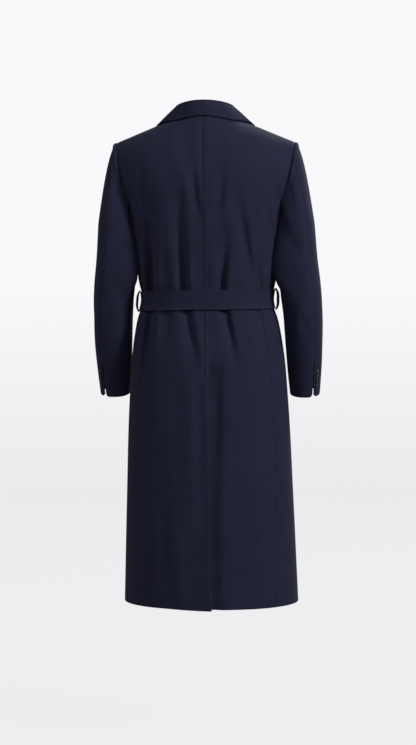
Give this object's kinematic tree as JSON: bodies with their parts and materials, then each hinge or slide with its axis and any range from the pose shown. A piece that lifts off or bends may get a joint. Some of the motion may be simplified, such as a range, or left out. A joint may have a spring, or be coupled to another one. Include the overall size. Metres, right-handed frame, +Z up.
{
  "type": "belted overcoat",
  "caption": "Long tailored wool overcoat in its worn shape, hollow, with notch collar, wrap front, tie belt in side loops, centre back vent and buttoned cuffs.",
  "frame": {"origin": "middle of the neck base, level with the neck seam, where the wearer's shoulders carry the coat", "axes": "+Z up along the coat's length, -Y out of the front, +X towards the wearer's left"},
  "size_m": [0.597, 0.3798, 1.2986],
  "materials": {
    "wool": "brushed navy wool coating",
    "horn": "polished dark horn-like resin"
  },
  "bodies": {
    "root": {"back_left": "wool", "back_right": "wool", "side_left": "wool", "side_right": "wool", "front_left": "wool", "front_right": "wool", "sleeve_top_left": "wool", "sleeve_top_right": "wool", "sleeve_under_left": "wool", "sleeve_under_right": "wool", "collar": "wool", "lapel_left": "wool", "lapel_right": "wool", "belt": "wool", "belt_knot": "wool", "belt_end_left": "wool", "belt_end_right": "wool", "belt_loop_left": "wool", "belt_loop_right": "wool", "cuff_button_left_1": "horn", "cuff_button_left_2": "horn", "cuff_button_left_3": "horn", "cuff_button_left_4": "horn", "cuff_button_right_1": "horn", "cuff_button_right_2": "horn", "cuff_button_right_3": "horn", "cuff_button_right_4": "horn"}
  },
  "joints": []
}
